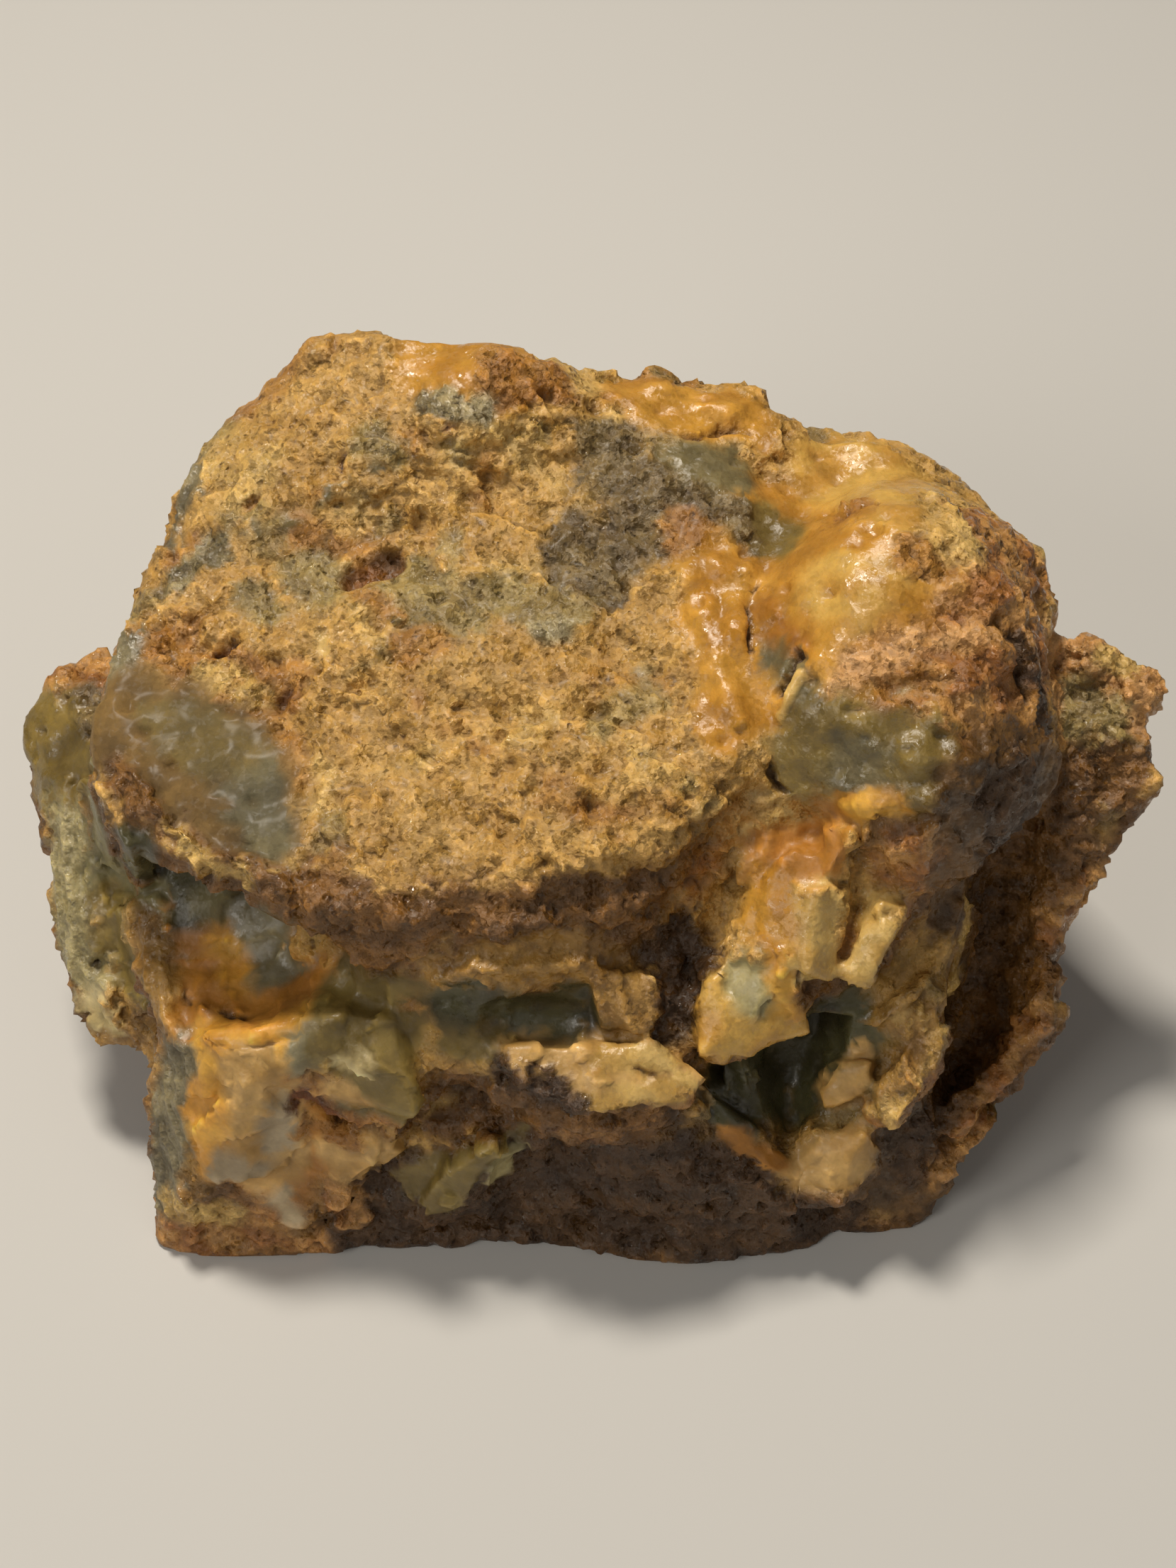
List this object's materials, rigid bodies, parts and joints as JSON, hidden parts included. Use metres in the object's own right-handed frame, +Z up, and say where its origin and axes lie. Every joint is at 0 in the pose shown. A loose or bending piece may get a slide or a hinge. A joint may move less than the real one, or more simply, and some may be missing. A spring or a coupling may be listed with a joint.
{
  "type": "raw jasper",
  "caption": "Raw lump of jasper with a sloping crusted top, a waxy dome, broken front ledges, shell-shaped fracture hollows and a flat underside to stand on.",
  "frame": {"origin": "middle of the stone's bounding box on the plane it rests on", "axes": "+X along the stone's longest side, to the right seen from its broken front; +Y towards its back; +Z up"},
  "size_m": [0.1128, 0.0748, 0.0664],
  "materials": {
    "jasper": "satin"
  },
  "bodies": {
    "root": {"jasper": "jasper"}
  },
  "joints": []
}
